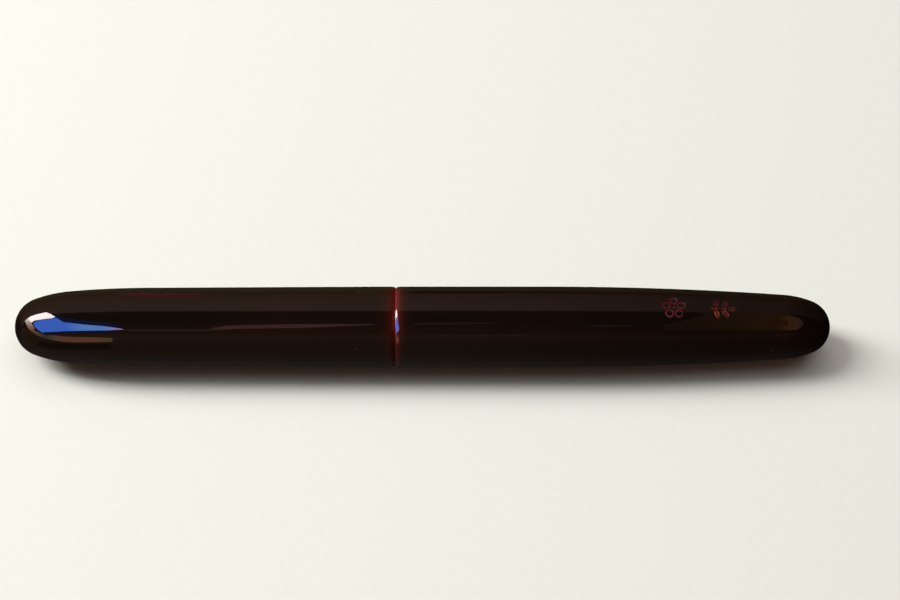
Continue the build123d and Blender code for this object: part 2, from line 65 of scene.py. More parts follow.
# Tangent arcs of each end and mouth: (radius, heading where the arc ends). They start at 90 degrees.
# The two ends' arcs were fitted by a separate program to the outline measured on the photograph.
CAP_NOSE = [(5.48, 20.3), (24.7, 4.94), (175.0, 0.28)]
TAIL_NOSE = [(5.08, 21.9), (17.65, 3.94)]
CAP_LIP = [(0.25, 12.0), (4.0, 0.0)]
SHOULDER = [(0.27, 25.0), (1.9, 0.0)]
SEAM_GAP = 0.05

TENON_CORE = 5.95
THREAD_DEPTH = 0.28
THREAD_ROOT = TENON_CORE + 2 * THREAD_DEPTH + 0.10
THREAD_PITCH = 1.2
THREAD_START = TENON_END + 0.75
THREAD_LENGTH = 4.2
CAP_BORE_START = TENON_END - 1.6
CAP_BORE = 6.05
LINER_MOUTH = -34.0
LINER_SEAT = 5.80
LINER_TAPER = -58.0
LINER_END = -68.0
LINER_END_RADIUS = 5.0
BUSH_SEAT = 5.30
BUSH_END = TENON_END + 7.8
BARREL_BORE = 4.9
BARREL_BORE_END = 40.0
TAIL_BORE = 4.3
TAIL_BORE_END = 67.5
DRILL_POINT = 1.6
INLAY_GAP = 0.02
CUTTER_RISE = 0.4
INLAY_TOP_DEPTH = 0.1
SKIN_TOLERANCE = 0.004
TENON_RELIEF = TENON_CORE - 0.12

ROUND_SEGMENTS = 192
ARC_SAMPLES = 28
MOUTH_SAMPLES = 12


# ---------------------------------------------------------------- mesh helpers
def new_object(name, mesh):
    obj = bpy.data.objects.new(name, mesh)
    bpy.context.scene.collection.objects.link(obj)
    return obj


def on_axis(x, radius, angle):
    """Point at a station, a radius and an angle from straight up, in metres."""
    return Vector((x * MM, radius * MM * math.sin(angle), AXIS + radius * MM * math.cos(angle)))


def end_arcs(tip, direction, steps, start_radius=0.0, samples=ARC_SAMPLES):
    """Points along a run of tangent arcs from a face outwards. direction is +1 if it opens towards +X."""
    x, r, heading = 0.0, start_radius, 90.0
    points = [(tip, start_radius)]
    for radius, end in steps:
        start_x, start_r = x, r
        for i in range(1, samples + 1):
            angle = math.radians(heading + (end - heading) * i / samples)
            x = start_x + radius * (math.sin(math.radians(heading)) - math.sin(angle))
            r = start_r + radius * (math.cos(angle) - math.cos(math.radians(heading)))
            points.append((tip + direction * x, r))
        heading = end
    return points


def tail_steps():
    """The tail's arcs, with the last one running out level at the body's full radius."""
    reached = end_arcs(0.0, 1, TAIL_NOSE)[-1][1]
    rest = (BODY_RADIUS - reached) / (1 - math.cos(math.radians(TAIL_NOSE[-1][1])))
    return TAIL_NOSE + [(rest, 0.0)]


def mouth_arcs(face, direction, steps):
    """Points along a mouth's rounding, from the body's full radius down to its end face."""
    drop = end_arcs(0.0, 1, steps)[-1][1]
    return end_arcs(face, direction, steps, BODY_RADIUS - drop, MOUTH_SAMPLES)[::-1]


def turned(name, outline):
    """Smooth mesh of an outline turned about the pen's axis. It closes where the outline meets the axis."""
    bm = bmesh.new()
    rings = []
    for x, r in outline:
        if r < 1e-6:
            rings.append([bm.verts.new(on_axis(x, 0, 0))])
        else:
            angles = [math.tau * k / ROUND_SEGMENTS for k in range(ROUND_SEGMENTS)]
            rings.append([bm.verts.new(on_axis(x, r, angle)) for angle in angles])
    pairs = list(zip(rings, rings[1:]))
    if len(rings[0]) > 1:
        pairs.append((rings[-1], rings[0]))
    for a, b in pairs:
        for k in range(ROUND_SEGMENTS):
            n = (k + 1) % ROUND_SEGMENTS
            corners = [a[k % len(a)], a[n % len(a)], b[n % len(b)], b[k % len(b)]]
            unique = list(dict.fromkeys(corners))
            if len(unique) > 2:
                bm.faces.new(unique)
    return finished(name, bm)


def finished(name, bm, sharp=35):
    """Turn a bmesh into a smooth-shaded object with its normals outwards and its corners sharp."""
    bmesh.ops.recalc_face_normals(bm, faces=bm.faces)
    mesh = bpy.data.meshes.new(name)
    bm.to_mesh(mesh)
    bm.free()
    smooth(mesh, sharp)
    return new_object(name, mesh)


def smooth(mesh, sharp=35):
    mesh.polygons.foreach_set("use_smooth", [True] * len(mesh.polygons))
    mesh.set_sharp_from_angle(angle=math.radians(sharp))
    mesh.update()


def thread_ridge(root, crest, phase):
    """Helical ridge from root to crest radius, sunk a little into the wall that carries it."""
    start, length, pitch = THREAD_START, THREAD_LENGTH, THREAD_PITCH
    sign = 1 if crest > root else -1
    base, top, bury, steps_per_turn = 0.30 * pitch, 0.15 * pitch, 0.06, 96
    section = [(-base, root - sign * bury), (-top, crest), (top, crest), (base, root - sign * bury)]
    bm = bmesh.new()
    steps = int(length / pitch * steps_per_turn)
    rings = []
    for i in range(steps + 1):
        angle = math.radians(phase) - math.tau * length / pitch * i / steps
        x = start + length * i / steps
        rings.append([bm.verts.new(on_axis(x + dx, r, angle)) for dx, r in section])
    for a, b in zip(rings, rings[1:]):
        for k in range(4):
            bm.faces.new((a[k], a[(k + 1) % 4], b[(k + 1) % 4], b[k]))
    bm.faces.new(rings[0])
    bm.faces.new(rings[-1][::-1])
    return finished("ridge", bm)


def combine(obj, tools, operation):
    """Boolean of obj with each tool. The tools are used up."""
    for tool in tools:
        modifier = obj.modifiers.new(operation, "BOOLEAN")
        modifier.operation = operation
        modifier.object = tool
        modifier.solver = "MANIFOLD"
        bpy.context.view_layer.update()
        evaluated = obj.evaluated_get(bpy.context.evaluated_depsgraph_get())
        mesh = bpy.data.meshes.new_from_object(evaluated)
        mesh.materials.clear()
        mesh.polygons.foreach_set("material_index", [0] * len(mesh.polygons))
        obj.modifiers.clear()
        old = obj.data
        obj.data = mesh
        bpy.data.meshes.remove(old)
        bpy.data.objects.remove(tool)
    smooth(obj.data)


def skin_normals(obj, skin):
    """Give the faces on the outer skin the exact normals of the outline that they were turned from."""
    mesh = obj.data
    skin_x = np.array([p[0] for p in skin]) * MM
    skin_r = np.array([p[1] for p in skin]) * MM
    slope_x, slope_r = np.gradient(skin_x), np.gradient(skin_r)
    order = np.argsort(skin_x)
    skin_x, skin_r, slope_x, slope_r = (a[order] for a in (skin_x, skin_r, slope_x, slope_r))
    co = np.empty(len(mesh.vertices) * 3)
    mesh.vertices.foreach_get("co", co)
    co = co.reshape(-1, 3)
    height = co[:, 2] - AXIS
    radius = np.hypot(co[:, 1], height)
    on_skin = np.abs(radius - np.interp(co[:, 0], skin_x, skin_r)) < SKIN_TOLERANCE * MM
    on_skin &= (co[:, 0] > skin_x[0] - 1e-7) & (co[:, 0] < skin_x[-1] + 1e-7)
    tangent_x = np.interp(co[:, 0], skin_x, slope_x)
    tangent_r = np.interp(co[:, 0], skin_x, slope_r)
    flip = np.sign(tangent_x)
    size = np.hypot(tangent_x, tangent_r)
    normal = np.empty_like(co)
    safe = np.maximum(radius, 1e-9)
    normal[:, 0] = -tangent_r * flip / size
    across = np.abs(tangent_x) / size
    normal[:, 1] = across * co[:, 1] / safe
    normal[:, 2] = across * height / safe
    corner = np.empty(len(mesh.loops) * 3)
    mesh.corner_normals.foreach_get("vector", corner)
    corner = corner.reshape(-1, 3)
    for poly in mesh.polygons:
        loops = list(poly.loop_indices)
        verts = list(poly.vertices)
        if on_skin[verts].all() and normal[verts].mean(0) @ np.array(poly.normal) > 0.8:
            corner[loops] = normal[verts]
    mesh.normals_split_custom_set(corner.tolist())


def outer_outline(node):
    """Stations and largest radii of a turned CAD node, in millimetres, in order of station."""
    co = np.array([v.co for v in frame["nodes"][node].data.vertices])
    station = np.round(co[:, 0] / MM, 2)
    radius = np.hypot(co[:, 1], co[:, 2] - AXIS) / MM
    stations = np.unique(station)
    return stations, np.array([radius[station == s].max() for s in stations])


# ---------------------------------------------------------------- cap and barrel
def cap_piece():
    lip = mouth_arcs(SEAM, -1, CAP_LIP)
    skin = end_arcs(CAP_TIP, 1, CAP_NOSE) + lip[:1]
    body = turned("cap_lacquered", skin + lip[1:] + [
        (SEAM, THREAD_ROOT + 0.12),
        (SEAM - 0.4, THREAD_ROOT),
        (CAP_BORE_START, THREAD_ROOT),
        (CAP_BORE_START - 0.6, CAP_BORE),
        (LINER_MOUTH, CAP_BORE),
        (LINER_MOUTH, LINER_SEAT),
        (LINER_TAPER, LINER_SEAT),
        (LINER_END + 1.0, LINER_END_RADIUS),
        (LINER_END, LINER_END_RADIUS - 0.8),
        (LINER_END, 0.0),
    ])
    combine(body, [thread_ridge(THREAD_ROOT, THREAD_ROOT - THREAD_DEPTH, 90)], "UNION")
    skin_normals(body, skin)
    return body


def pocket_cutter(node, skin):
    """Cutter round an inlay, from just under the pocket's floor to above the skin."""
    skin_x = [p[0] * MM for p in skin][::-1]
    skin_r = [p[1] * MM for p in skin][::-1]
    bm = bmesh.new()
    bm.from_mesh(frame["nodes"][node].data)
    bmesh.ops.remove_doubles(bm, verts=bm.verts, dist=1e-7)
    bm.normal_update()
    for v in bm.verts:
        depth = np.interp(v.co.x, skin_x, skin_r) - math.hypot(v.co.y, v.co.z - AXIS)
        outwards = Vector((v.normal.x, v.normal.y, 0))
        if outwards.length > 0.4:
            v.co += outwards.normalized() * INLAY_GAP * MM
        v.co.z += CUTTER_RISE * MM if depth < INLAY_TOP_DEPTH * MM else -INLAY_GAP * MM
    return finished("cutter", bm)


def barrel_piece():
    shoulder = SEAM + SEAM_GAP
    rounding = mouth_arcs(shoulder, 1, SHOULDER)
    skin = end_arcs(TAIL_TIP, -1, tail_steps()) + rounding[:1]
    body = turned("barrel_lacquered", skin + rounding[1:] + [
        (shoulder, TENON_RELIEF),
        (shoulder - 0.5, TENON_RELIEF),
        (shoulder - 0.6, TENON_CORE),
        (TENON_END + 0.35, TENON_CORE),
        (TENON_END, TENON_CORE - 0.3),
        (TENON_END, BUSH_SEAT),
        (BUSH_END, BUSH_SEAT),
        (BUSH_END, BARREL_BORE),
        (BARREL_BORE_END, BARREL_BORE),
        (BARREL_BORE_END + 1.0, TAIL_BORE),
        (TAIL_BORE_END, TAIL_BORE),
        (TAIL_BORE_END + DRILL_POINT, 0.0),
    ])
    combine(body, [thread_ridge(TENON_CORE, TENON_CORE + THREAD_DEPTH, 270)], "UNION")
    combine(body, [pocket_cutter(n, skin) for n in ("blossom_inlay", "sprig_inlay")], "DIFFERENCE")
    skin_normals(body, skin)
    return body


# ---------------------------------------------------------------- tuft
HAIRS = 900
HAIR_THICKNESS = 0.085
HAIR_RINGS = 14
CORE_SHARE = 0.86
CORE_SEGMENTS = 40


def tuft_piece():
    """Fine hairs inside the tuft's envelope, gathered to a point, over a slightly smaller core."""
    stations, radii = outer_outline("brush_tuft")
    tip, root = stations[0], stations[-1]

    def envelope(x):
        return float(np.interp(x, stations, radii))

    rng = random.Random(7)
    bm = bmesh.new()
    core = [(tip + 1.5, 0.0)]
    core += [(x, CORE_SHARE * envelope(x)) for x in np.linspace(tip + 1.6, root, 40)]
    core.append((root, 0.0))
    rings = []
    for x, r in core:
        count = 1 if r == 0.0 else CORE_SEGMENTS
        rings.append([bm.verts.new(on_axis(x, r, math.tau * k / CORE_SEGMENTS)) for k in range(count)])
    for a, b in zip(rings, rings[1:]):
        for k in range(CORE_SEGMENTS):
            n = (k + 1) % CORE_SEGMENTS
            corners = [a[k % len(a)], a[n % len(a)], b[n % len(b)], b[k % len(b)]]
            bm.faces.new(list(dict.fromkeys(corners)))
    for _ in range(HAIRS):
        place = math.sqrt(rng.uniform(0.62, 1.0))
        angle = rng.uniform(0, math.tau)
        twist = rng.gauss(0, 0.10)
        wave, shift = rng.uniform(0.0, 0.05), rng.uniform(0, math.tau)
        end = tip + abs(rng.gauss(0, 2.2)) * place + rng.uniform(0, 0.3)
        previous = None
        for i in range(HAIR_RINGS + 1):
            t = i / HAIR_RINGS
            x = root + (end - root) * t
            limit = max(envelope(x) - HAIR_THICKNESS / 2, 0.02)
            r = min(place * envelope(x) * (1 + wave * math.sin(5 * t + shift)), limit)
            a = angle + twist * t
            width = HAIR_THICKNESS / 2 * (1 - t**3) + 0.006
            centre = on_axis(x, r, a)
            out = (centre - on_axis(x, 0, 0)).normalized()
            side = Vector((1, 0, 0)).cross(out)
            ring = []
            for k in range(3):
                turn = math.tau * k / 3
                offset = (out * math.cos(turn) + side * math.sin(turn)) * width * MM
                ring.append(bm.verts.new(centre + offset))
            if previous:
                for k in range(3):
                    bm.faces.new((previous[k], previous[(k + 1) % 3], ring[(k + 1) % 3], ring[k]))
            else:
                bm.faces.new(ring[::-1])
            previous = ring
        bm.faces.new(previous)
    return finished("tuft_hairs", bm, sharp=75)


# ---------------------------------------------------------------- turned parts with exact gloss
SHARP_BEND = math.radians(30)
TURNED_LIMIT = 0.06


def slope_averages(around, angles, weights, sharp):
    """Mean slope at each corner over the corners on the same circle that bend less than sharp from it."""
    shared = {}
    for i, circle in enumerate(around):
        shared.setdefault(circle, {}).setdefault(round(float(angles[i]), 2), [0.0])[0] += weights[i]
    means = np.empty(len(around))
    for i, circle in enumerate(around):
        total, weight = 0.0, 0.0
        for slope, (share,) in shared[circle].items():
            if abs(slope - angles[i]) < sharp:
                total += share * slope
                weight += share
        means[i] = total / weight
    return means


def repolished(node):
    """Copy of a turned node whose normals lie exactly round the axis, so that gloss runs clean along it.

    Faces that don't face straight out from the axis, such as a flute's, keep their own normals.
    """
    bm = bmesh.new()
    bm.from_mesh(frame["nodes"][node].data)
    bmesh.ops.remove_doubles(bm, verts=bm.verts, dist=1e-7)
    piece = finished(node + "_polished", bm)
    mesh = piece.data
    co = np.array([v.co for v in mesh.vertices]) - (0, 0, AXIS)
    face_normal = np.array([p.normal for p in mesh.polygons])
    middle = np.array([p.center for p in mesh.polygons]) - (0, 0, AXIS)
    face_radius = np.maximum(np.hypot(middle[:, 1], middle[:, 2]), 1e-9)
    outward = (face_normal[:, 1:] * middle[:, 1:]).sum(1) / face_radius
    sideways = (face_normal[:, 1] * middle[:, 2] - face_normal[:, 2] * middle[:, 1]) / face_radius
    face_slope = np.arctan2(face_normal[:, 0], outward)
    area = np.array([p.area for p in mesh.polygons])
    face = np.repeat(np.arange(len(mesh.polygons)), [len(p.vertices) for p in mesh.polygons])
    vertex = np.array([i for p in mesh.polygons for i in p.vertices])
    radius = np.hypot(co[vertex, 1], co[vertex, 2])
    turned_face = (np.abs(sideways) < TURNED_LIMIT)[face] & (radius > 0.05 * MM)
    picked = np.flatnonzero(turned_face)
    circles = [(round(co[vertex[i], 0] / MM, 2), round(radius[i] / MM, 2)) for i in picked]
    slope = slope_averages(circles, face_slope[face[picked]], area[face[picked]], SHARP_BEND)
    corner = np.empty(len(mesh.loops) * 3)
    mesh.corner_normals.foreach_get("vector", corner)
    corner = corner.reshape(-1, 3)
    radial = co[vertex[picked], 1:] / radius[picked, None]
    corner[picked, 0] = np.sin(slope)
    corner[picked, 1:] = np.cos(slope)[:, None] * radial
    mesh.normals_split_custom_set(corner.tolist())
    return piece


# ---------------------------------------------------------------- material helpers
class Graph:
    """Short calls for building one material's node tree."""

    def __init__(self, name, color, roughness, metallic=0.0):
        self.material = bpy.data.materials.new(name)
        self.material.use_nodes = True
        self.tree = self.material.node_tree
        self.shader = self.tree.nodes["Principled BSDF"]
        self.set(base_color=(*color, 1.0), roughness=roughness, metallic=metallic)
        self.place = self.tree.nodes.new("ShaderNodeTexCoord").outputs["Object"]

    def set(self, **values):
        for key, value in values.items():
            self.shader.inputs[key.replace("_", " ").title().replace("Ior", "IOR")].default_value = value

    def plug(self, key, socket):
        self.tree.links.new(socket, self.shader.inputs[key])

    def node(self, kind, inputs=(), output=0, **settings):
        made = self.tree.nodes.new("ShaderNode" + kind)
        for key, value in settings.items():
            setattr(made, key, value)
        for key, value in dict(inputs).items():
            if isinstance(value, bpy.types.NodeSocket):
                self.tree.links.new(value, made.inputs[key])
            else:
                made.inputs[key].default_value = value
        return made.outputs[output]

    def math(self, operation, a, b=0.0, clamp=False):
        return self.node("Math", {0: a, 1: b}, operation=operation, use_clamp=clamp)

    def stretched(self, x, y, z):
        return self.node("Mapping", {"Vector": self.place, "Scale": (x, y, z)})

    def noise(self, scale, detail, vector=None):
        return self.node("TexNoise", {"Vector": vector or self.place, "Scale": scale, "Detail": detail})

    def between(self, value, low, high, to_low=0.0, to_high=1.0):
        inputs = {"Value": value, "From Min": low, "From Max": high, "To Min": to_low, "To Max": to_high}
        return self.node("MapRange", inputs, interpolation_type="SMOOTHSTEP")

    def blend(self, factor, a, b):
        made = self.tree.nodes.new("ShaderNodeMix")
        made.data_type = "RGBA"
        for socket, value in ((made.inputs[0], factor), (made.inputs[6], a), (made.inputs[7], b)):
            if isinstance(value, bpy.types.NodeSocket):
                self.tree.links.new(value, socket)
            else:
                socket.default_value = (*value, 1.0) if isinstance(value, tuple) else value
        return made.outputs[2]

    def bump(self, height, distance_mm):
        return self.node("Bump", {"Height": height, "Distance": distance_mm * MM})

    def station(self):
        """Place along the pen, in millimetres."""
        parts = self.tree.nodes.new("ShaderNodeSeparateXYZ")
        self.tree.links.new(self.place, parts.inputs[0])
        return self.math("MULTIPLY", parts.outputs["X"], 1 / MM)

    def around(self):
        """Radius in millimetres and angle from straight up in radians."""
        moved = self.node("VectorMath", {0: self.place, 1: (0, 0, -AXIS)}, operation="ADD")
        parts = self.tree.nodes.new("ShaderNodeSeparateXYZ")
        self.tree.links.new(moved, parts.inputs[0])
        flat = self.node("CombineXYZ", {"X": 0.0, "Y": parts.outputs["Y"], "Z": parts.outputs["Z"]})
        length = self.node("VectorMath", {0: flat}, output="Value", operation="LENGTH")
        angle = self.math("ARCTAN2", parts.outputs["Y"], parts.outputs["Z"])
        return self.math("MULTIPLY", length, 1 / MM), angle


# ---------------------------------------------------------------- materials
LACQUER_DARK, LACQUER_CLOUD = (0.0034, 0.0016, 0.0010), (0.0064, 0.0022, 0.0013)
# Red deep in the seam's groove, brighter than the red at the edge: painted light against the groove's
# shade.
GROOVE_RED_PAINTED_LIGHT = (0.20, 0.020, 0.017)
DUST = (0.10, 0.07, 0.05)
WEAR_STARTS, WEAR_FULL = 5.7, 6.0


def lacquer(name, edge, reach, red):
    """Nearly black lacquer. Red shows through over reach mm at its worn edge, dimmed below as painted shade
    and brightened deep in the seam's groove as painted light.
    """
    g = Graph(name, (0.0038, 0.0018, 0.0010), 0.55)
    g.set(coat_weight=1.0, coat_roughness=0.02, coat_ior=1.52, specular_ior_level=0.0)
    radius, angle = g.around()
    cloud = g.noise(1.0, 4, g.stretched(25, 140, 140))
    body = g.blend(g.between(cloud, 0.40, 0.72), LACQUER_DARK, LACQUER_CLOUD)
    uneven = g.math("MULTIPLY", g.math("SUBTRACT", g.noise(700, 3), 0.5), 0.3 * reach)
    away = g.math("ADD", g.math("ABSOLUTE", g.math("SUBTRACT", g.station(), edge)), uneven)
    worn = g.math("EXPONENT", g.math("DIVIDE", away, -reach), clamp=True)
    worn = g.math("MULTIPLY", worn, g.between(radius, WEAR_STARTS, WEAR_FULL))
    # The red is dimmed to 0.45 of itself on the pen's lower side: painted shade.
    above = g.between(g.math("ABSOLUTE", angle), math.radians(70), math.radians(15), 0.45, 1.0)
    worn = g.math("MULTIPLY", worn, above)
    # Deeper in the seam's groove the red brightens: painted light against the groove's shade.
    bare_red_and_groove_light = g.blend(g.between(radius, BODY_RADIUS - 0.08, BODY_RADIUS - 0.3), red, GROOVE_RED_PAINTED_LIGHT)
    color = g.blend(worn, body, bare_red_and_groove_light)
    specks = g.between(g.noise(420, 1.5), 0.775, 0.80)
    color = g.blend(g.math("MULTIPLY", specks, 0.6), color, DUST)
    g.plug("Base Color", color)
    g.plug("Roughness", g.between(g.noise(160, 5), 0.3, 0.75, 0.45, 0.65))
    g.plug("Normal", g.bump(g.noise(900, 2), 0.0001))
    return g.material


def ebonite(name, color):
    """Turned hard rubber, polished, with very faint tool lines round it."""
    g = Graph(name, color, 0.2)
    g.set(coat_weight=0.6, coat_roughness=0.06, specular_ior_level=0.35)
    streak = g.noise(1.0, 4, g.stretched(900, 60, 60))
    g.plug("Base Color", g.blend(streak, tuple(0.75 * c for c in color), tuple(1.5 * c for c in color)))
    g.plug("Roughness", g.between(streak, 0.3, 0.7, 0.16, 0.30))
    g.plug("Normal", g.bump(g.noise(1.0, 3, g.stretched(2600, 40, 40)), 0.0003))
    return g.material


def red_inlay(name, far, near):
    """Red lacquer in an engraved mark, from one tone at its far side to another at its near side."""
    g = Graph(name, near, 0.4)
    g.set(specular_ior_level=0.2)
    parts = g.tree.nodes.new("ShaderNodeSeparateXYZ")
    g.tree.links.new(g.place, parts.inputs[0])
    blotch = g.noise(650, 4)
    across = g.math("ADD", parts.outputs["Y"], g.math("MULTIPLY", g.math("SUBTRACT", blotch, 0.5), 0.0012))
    tone = g.blend(g.between(across, -0.7 * MM, 0.5 * MM), near, far)
    tone = g.blend(g.between(g.noise(900, 3), 0.45, 0.62), tone, tuple(0.55 * c for c in far))
    worn = g.between(g.noise(1500, 2), 0.60, 0.68)
    g.plug("Base Color", g.blend(g.math("MULTIPLY", worn, 0.7), tone, (0.11, 0.02, 0.016)))
    g.plug("Roughness", g.between(blotch, 0.3, 0.7, 0.3, 0.55))
    g.plug("Normal", g.bump(g.noise(2500, 3), 0.02))
    return g.material


def moulded(name, color, roughness=0.42, grain=0.003):
    """Moulded plastic with a fine grain and slight flow marks."""
    g = Graph(name, color, roughness)
    flow = g.noise(1.0, 3, g.stretched(60, 240, 240))
    darker, lighter = (tuple(factor * c for c in color) for factor in (0.82, 1.15))
    g.plug("Base Color", g.blend(flow, darker, lighter))
    g.plug("Roughness", g.between(flow, 0.3, 0.7, roughness - 0.06, roughness + 0.08))
    g.plug("Normal", g.bump(g.noise(3500, 3), grain))
    return g.material


def turned_metal(name, color, roughness, tarnish, lines):
    """Metal with fine tool lines round it and a little tarnish."""
    g = Graph(name, color, roughness, metallic=1.0)
    rings = g.noise(1.0, 4, g.stretched(lines, 30, 30))
    stain = g.between(g.noise(500, 4), 0.5, 0.75)
    g.plug("Base Color", g.blend(g.math("MULTIPLY", stain, 0.5), color, tarnish))
    g.plug("Roughness", g.between(rings, 0.3, 0.7, roughness - 0.02, roughness + 0.04))
    g.plug("Normal", g.bump(rings, 0.0004))
    return g.material


def clear_plastic(name):
    """Clear tube with faint draw lines."""
    g = Graph(name, (0.93, 0.96, 0.97), 0.03)
    g.set(transmission_weight=1.0, ior=1.49)
    lines = g.noise(1.0, 3, g.stretched(60, 2500, 2500))
    g.plug("Roughness", g.between(lines, 0.4, 0.8, 0.02, 0.07))
    g.plug("Normal", g.bump(lines, 0.0006))
    return g.material


def fibre(name, color, dark):
    """Bundle of fine fibres along the pen."""
    g = Graph(name, color, 0.75)
    strands = g.noise(1.0, 4, g.stretched(140, 5500, 5500))
    g.plug("Base Color", g.blend(g.between(strands, 0.3, 0.7), dark, color))
    g.plug("Normal", g.bump(strands, 0.02))
    return g.material


def hair(name):
    """Brown hair, paler at the belly and dark at its fine points."""
    g = Graph(name, (0.25, 0.11, 0.04), 0.42)
    g.set(sheen_weight=0.25, sheen_roughness=0.4)
    streak = g.noise(1.0, 3, g.stretched(60, 3500, 3500))
    color = g.blend(g.between(streak, 0.3, 0.7), (0.10, 0.038, 0.014), (0.36, 0.17, 0.065))
    toward_tip = g.between(g.station(), -52.0, -60.5)
    g.plug("Base Color", g.blend(g.math("MULTIPLY", toward_tip, 0.85), color, (0.035, 0.016, 0.010)))
    g.plug("Roughness", g.between(streak, 0.3, 0.7, 0.36, 0.55))
    return g.material


def wound_thread(name):
    """Waxed red thread with the slant of its twist."""
    g = Graph(name, (0.45, 0.03, 0.02), 0.6)
    twist = g.noise(1.0, 2, g.stretched(9000, 2600, 2600))
    g.plug("Base Color", g.blend(g.between(twist, 0.35, 0.65), (0.20, 0.012, 0.010), (0.55, 0.05, 0.03)))
    g.plug("Normal", g.bump(twist, 0.02))
    return g.material


def rubber(name):
    g = Graph(name, (0.02, 0.02, 0.022), 0.55)
    cloud = g.noise(900, 4)
    g.plug("Base Color", g.blend(cloud, (0.012, 0.012, 0.013), (0.035, 0.035, 0.037)))
    g.plug("Roughness", g.between(cloud, 0.3, 0.7, 0.48, 0.68))
    g.plug("Normal", g.bump(g.noise(4200, 2), 0.004))
    return g.material


def floor_paper(name):
    """Pale matt studio floor with the faintest tone to it."""
    g = Graph(name, (0.70, 0.73, 0.69), 0.9)
    g.set(specular_ior_level=0.1)
    tone = g.noise(900, 3)
    g.plug("Base Color", g.blend(tone, (0.68, 0.715, 0.67), (0.72, 0.75, 0.71)))
    return g.material


# ---------------------------------------------------------------- pieces and finishes
cap = cap_piece()
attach(cap, "cap")
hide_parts("cap_shell")
# The cap's red edge is much darker than the barrel's, for its lip lying in shade: painted shade.
cap.data.materials.append(lacquer("cap_lacquer", SEAM, 0.75, (0.075, 0.0028, 0.0022)))

barrel = barrel_piece()
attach(barrel, "barrel")
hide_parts("barrel_shell")
barrel.data.materials.append(lacquer("barrel_lacquer", SEAM + SEAM_GAP, 0.6, (0.180, 0.020, 0.020)))

tuft = tuft_piece()
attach(tuft, "section")
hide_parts("brush_tuft")
tuft.data.materials.append(hair("tuft_hair"))

REPOLISHED = {
    "grip_section": "grip_lacquer",
    "brush_ferrule": "ferrule_plastic",
    "inner_cap": "liner_plastic",
    "converter_mouth": "plug_plastic",
    "converter_sleeve": "plated_metal",
    "converter_tube": "clear_plastic",
    "converter_collar": "plated_metal",
    "converter_knob": "knob_plastic",
    "piston_seal": "seal_rubber",
}
shown = dict(frame["nodes"], cap_shell=cap, barrel_shell=barrel, brush_tuft=tuft)
for body, nodes in frame["record"]["behaviour"]["bodies"].items():
    for node in nodes:
        if node in REPOLISHED:
            shown[node] = repolished(node)
            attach(shown[node], body)
            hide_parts(node)

BLOSSOM = red_inlay("blossom_lacquer", (0.066, 0.005, 0.005), (0.075, 0.005, 0.005))
SPRIG = red_inlay("sprig_lacquer", (0.060, 0.004, 0.008), (0.160, 0.018, 0.004))
BRASS = turned_metal("turned_brass", (0.80, 0.56, 0.24), 0.24, (0.45, 0.28, 0.12), 3000)
PLATED = turned_metal("plated_metal", (0.86, 0.86, 0.87), 0.17, (0.70, 0.69, 0.68), 2400)
WHITE = moulded("white_plastic", (0.78, 0.78, 0.75), 0.4)
FINISHES = [
    (BLOSSOM, ["blossom_inlay"]),
    (SPRIG, ["sprig_inlay"]),
    (ebonite("grip_ebonite", (0.018, 0.013, 0.011)), ["grip_section"]),
    (moulded("liner_plastic", (0.035, 0.035, 0.038), 0.45), ["inner_cap"]),
    (BRASS, ["barrel_bush", "joint_ring", "drive_nut"]),
    (moulded("feed_plastic", (0.02, 0.02, 0.022), 0.5), ["feed_housing", "ink_comb"]),
    (fibre("wick_fibre", (0.80, 0.79, 0.74), (0.55, 0.53, 0.48)), ["ink_wick"]),
    (moulded("pipe_plastic", (0.80, 0.80, 0.78), 0.3), ["ink_pipe"]),
    (moulded("ferrule_plastic", (0.014, 0.014, 0.016), 0.22, 0.0012), ["brush_ferrule"]),
    (moulded("butt_resin", (0.35, 0.17, 0.05), 0.25), ["tuft_base"]),
    (wound_thread("binding_thread"), ["tuft_binding"]),
    (WHITE, ["converter_mouth", "guide_plate", "piston_screw"]),
    (PLATED, ["converter_sleeve", "converter_collar"]),
    (clear_plastic("clear_plastic"), ["converter_tube"]),
    (moulded("knob_plastic", (0.012, 0.012, 0.014), 0.28, 0.002), ["converter_knob"]),
    (rubber("seal_rubber"), ["piston_seal"]),
]
for finish, nodes in FINISHES:
    for node in nodes:
        slots = shown[node].data.materials
        slots.clear()
        slots.append(finish)


# ---------------------------------------------------------------- floor, light and camera
OUTSIDE = [cap, barrel, shown["blossom_inlay"], shown["sprig_inlay"]]


def make_floor():
    """Pale floor just under the pen. The gloss of the pen doesn't mirror it."""
    size, drop = 3.0, 0.00003
    bm = bmesh.new()
    bmesh.ops.create_grid(bm, x_segments=2, y_segments=2, size=size)
    bmesh.ops.translate(bm, verts=bm.verts, vec=(0, 0, -drop))
    floor = finished("studio_floor", bm)
    floor.visible_glossy = False
    floor.data.materials.append(floor_paper("floor_paper"))


def direction(azimuth, elevation):
    """Unit vector towards a place round the pen. Azimuth 0 is behind it (+Y) and 90 is to its right."""
    a, e = math.radians(azimuth), math.radians(elevation)
    return Vector((math.sin(a) * math.cos(e), math.cos(a) * math.cos(e), math.sin(e)))


def shine_only_on(source, objects):
    """Let a light or a glowing card reach some objects alone."""
    group = bpy.data.collections.new(source.name)
    for obj in objects:
        group.objects.link(obj)
    source.light_linking.receiver_collection = group


def softbox(name, azimuth, elevation, distance, size, color, power, only_on=None):
    """Soft light for matt surfaces.

    With only_on, it lights those objects alone and their gloss mirrors it.
    """
    light = bpy.data.lights.new(name, "AREA")
    light.shape = "RECTANGLE"
    light.size, light.size_y = size
    light.energy = power
    light.color = color
    box = bpy.data.objects.new(name, light)
    bpy.context.scene.collection.objects.link(box)
    aim = direction(azimuth, elevation)
    box.location = aim * distance
    box.rotation_mode = "QUATERNION"
    box.rotation_quaternion = aim.to_track_quat("Z", "Y")
    box.visible_camera = False
    box.visible_glossy = only_on is not None
    if only_on:
        shine_only_on(box, only_on)


